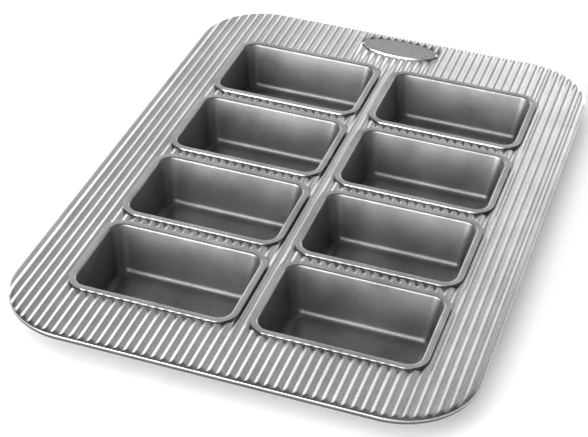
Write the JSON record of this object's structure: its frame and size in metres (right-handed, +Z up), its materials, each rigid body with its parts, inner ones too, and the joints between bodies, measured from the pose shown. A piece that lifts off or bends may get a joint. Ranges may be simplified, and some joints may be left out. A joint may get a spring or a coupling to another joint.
{
  "type": "mini loaf pan",
  "caption": "Mini loaf pan: small rectangular loaf cups set into a ribbed steel sheet with a wire-rolled edge.",
  "frame": {"origin": "middle of the pan's outline, on the surface that the cups' floors stand on", "axes": "+X across the pan, along the cups' long sides, +Y along the pan's long side from its front edge to the back edge with the bare oval, +Z up, out of the cups' mouths"},
  "size_m": [0.2826, 0.4, 0.0325],
  "materials": {
    "frame_steel": "aluminised steel sheet, satin, light grey with bright ribs",
    "cup_steel": "drawn aluminised steel, satin, faintly cloudy",
    "wire_steel": "plain drawn steel wire"
  },
  "bodies": {
    "root": {"corrugated_frame": "frame_steel", "rim_wire": "wire_steel", "loaf_cup_row1_left": "cup_steel", "loaf_cup_row1_right": "cup_steel", "loaf_cup_row2_left": "cup_steel", "loaf_cup_row2_right": "cup_steel", "loaf_cup_row3_left": "cup_steel", "loaf_cup_row3_right": "cup_steel", "loaf_cup_row4_left": "cup_steel", "loaf_cup_row4_right": "cup_steel"}
  },
  "joints": []
}
